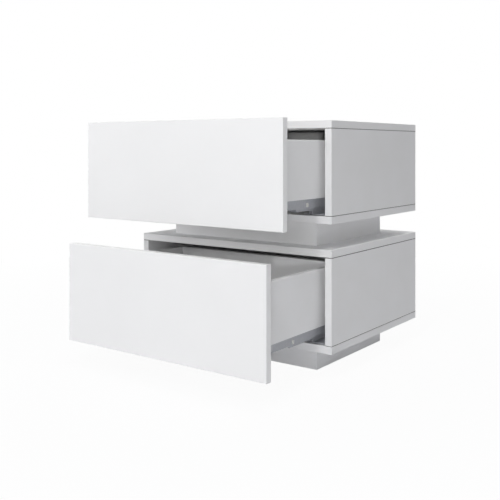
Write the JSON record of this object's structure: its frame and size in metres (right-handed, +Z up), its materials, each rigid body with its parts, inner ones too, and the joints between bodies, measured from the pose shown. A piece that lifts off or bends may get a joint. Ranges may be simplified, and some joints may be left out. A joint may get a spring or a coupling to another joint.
{
  "type": "nightstand",
  "caption": "Handleless nightstand of stacked drawer boxes on a recessed spacer and plinth, with plain overlaid fronts, undermount telescopic runners and push latches.",
  "frame": {"origin": "on the floor under the middle of the outline, with the drawers open as stored", "axes": "+X to the right seen from the front, +Y from the drawer fronts to the back, +Z up"},
  "size_m": [0.5, 0.616, 0.504],
  "materials": {
    "melamine_board": "white melamine on chipboard with white edging, satin",
    "melamine_frame": "white melamine on chipboard, satin",
    "pine_block": "bare planed pine",
    "white_hardboard": "white lacquered hardboard, satin",
    "gloss_lacquer": "white lacquer on fibreboard, high gloss",
    "drawer_board": "white foil on chipboard, satin",
    "galvanised_steel": "bent galvanised sheet",
    "nylon": "natural nylon",
    "grey_plastic": "moulded grey plastic"
  },
  "bodies": {
    "cabinet": {"lower_bottom_panel": "melamine_board", "lower_top_panel": "melamine_board", "lower_left_side": "melamine_board", "lower_right_side": "melamine_board", "upper_bottom_panel": "melamine_board", "upper_top_panel": "melamine_board", "upper_left_side": "melamine_board", "upper_right_side": "melamine_board", "plinth_front_rail": "melamine_frame", "plinth_right_rail": "melamine_frame", "plinth_back_rail": "melamine_frame", "plinth_left_rail": "melamine_frame", "spacer_front_rail": "melamine_frame", "spacer_right_rail": "melamine_frame", "spacer_back_rail": "melamine_frame", "spacer_left_rail": "melamine_frame", "plinth_corner_blocks": "pine_block", "spacer_corner_blocks": "pine_block", "lower_back_panel": "white_hardboard", "upper_back_panel": "white_hardboard", "lower_left_fixed_rail": "galvanised_steel", "lower_right_fixed_rail": "galvanised_steel", "upper_left_fixed_rail": "galvanised_steel", "upper_right_fixed_rail": "galvanised_steel", "latch_housings": "grey_plastic", "latch_sliders": "grey_plastic"},
    "lower_drawer": {"lower_drawer_front": "gloss_lacquer", "lower_drawer_left_side": "drawer_board", "lower_drawer_right_side": "drawer_board", "lower_drawer_back": "drawer_board", "lower_drawer_bottom": "white_hardboard", "lower_left_drawer_rail": "galvanised_steel", "lower_right_drawer_rail": "galvanised_steel", "lower_rail_clips": "grey_plastic"},
    "lower_middle_rails": {"lower_left_middle_rail": "galvanised_steel", "lower_right_middle_rail": "galvanised_steel"},
    "lower_outer_carriages": {"lower_outer_roller_carriages": "nylon"},
    "lower_inner_carriages": {"lower_inner_roller_carriages": "nylon"},
    "upper_drawer": {"upper_drawer_front": "gloss_lacquer", "upper_drawer_left_side": "drawer_board", "upper_drawer_right_side": "drawer_board", "upper_drawer_back": "drawer_board", "upper_drawer_bottom": "white_hardboard", "upper_left_drawer_rail": "galvanised_steel", "upper_right_drawer_rail": "galvanised_steel", "upper_rail_clips": "grey_plastic"},
    "upper_middle_rails": {"upper_left_middle_rail": "galvanised_steel", "upper_right_middle_rail": "galvanised_steel"},
    "upper_outer_carriages": {"upper_outer_roller_carriages": "nylon"},
    "upper_inner_carriages": {"upper_inner_roller_carriages": "nylon"}
  },
  "joints": [
    {"name": "lower_drawer_slide", "type": "slide", "parent": "cabinet", "child": "lower_drawer", "axis": [0, -1, 0], "range_m": [-0.204, 0.086]},
    {"name": "lower_middle_rails_slide", "type": "slide", "parent": "cabinet", "child": "lower_middle_rails", "axis": [0, -1, 0], "range_m": [-0.102, 0.043]},
    {"name": "lower_outer_carriages_slide", "type": "slide", "parent": "cabinet", "child": "lower_outer_carriages", "axis": [0, -1, 0], "range_m": [-0.051, 0.0215]},
    {"name": "lower_inner_carriages_slide", "type": "slide", "parent": "cabinet", "child": "lower_inner_carriages", "axis": [0, -1, 0], "range_m": [-0.153, 0.0645]},
    {"name": "upper_drawer_slide", "type": "slide", "parent": "cabinet", "child": "upper_drawer", "axis": [0, -1, 0], "range_m": [-0.153, 0.137]},
    {"name": "upper_middle_rails_slide", "type": "slide", "parent": "cabinet", "child": "upper_middle_rails", "axis": [0, -1, 0], "range_m": [-0.0765, 0.0685]},
    {"name": "upper_outer_carriages_slide", "type": "slide", "parent": "cabinet", "child": "upper_outer_carriages", "axis": [0, -1, 0], "range_m": [-0.03825, 0.03425]},
    {"name": "upper_inner_carriages_slide", "type": "slide", "parent": "cabinet", "child": "upper_inner_carriages", "axis": [0, -1, 0], "range_m": [-0.11475, 0.10275]}
  ],
  "couplings": [
    {"joint": "lower_middle_rails_slide", "follows": "lower_drawer_slide", "ratio": 0.5},
    {"joint": "lower_outer_carriages_slide", "follows": "lower_drawer_slide", "ratio": 0.25},
    {"joint": "lower_inner_carriages_slide", "follows": "lower_drawer_slide", "ratio": 0.75},
    {"joint": "upper_middle_rails_slide", "follows": "upper_drawer_slide", "ratio": 0.5},
    {"joint": "upper_outer_carriages_slide", "follows": "upper_drawer_slide", "ratio": 0.25},
    {"joint": "upper_inner_carriages_slide", "follows": "upper_drawer_slide", "ratio": 0.75}
  ]
}
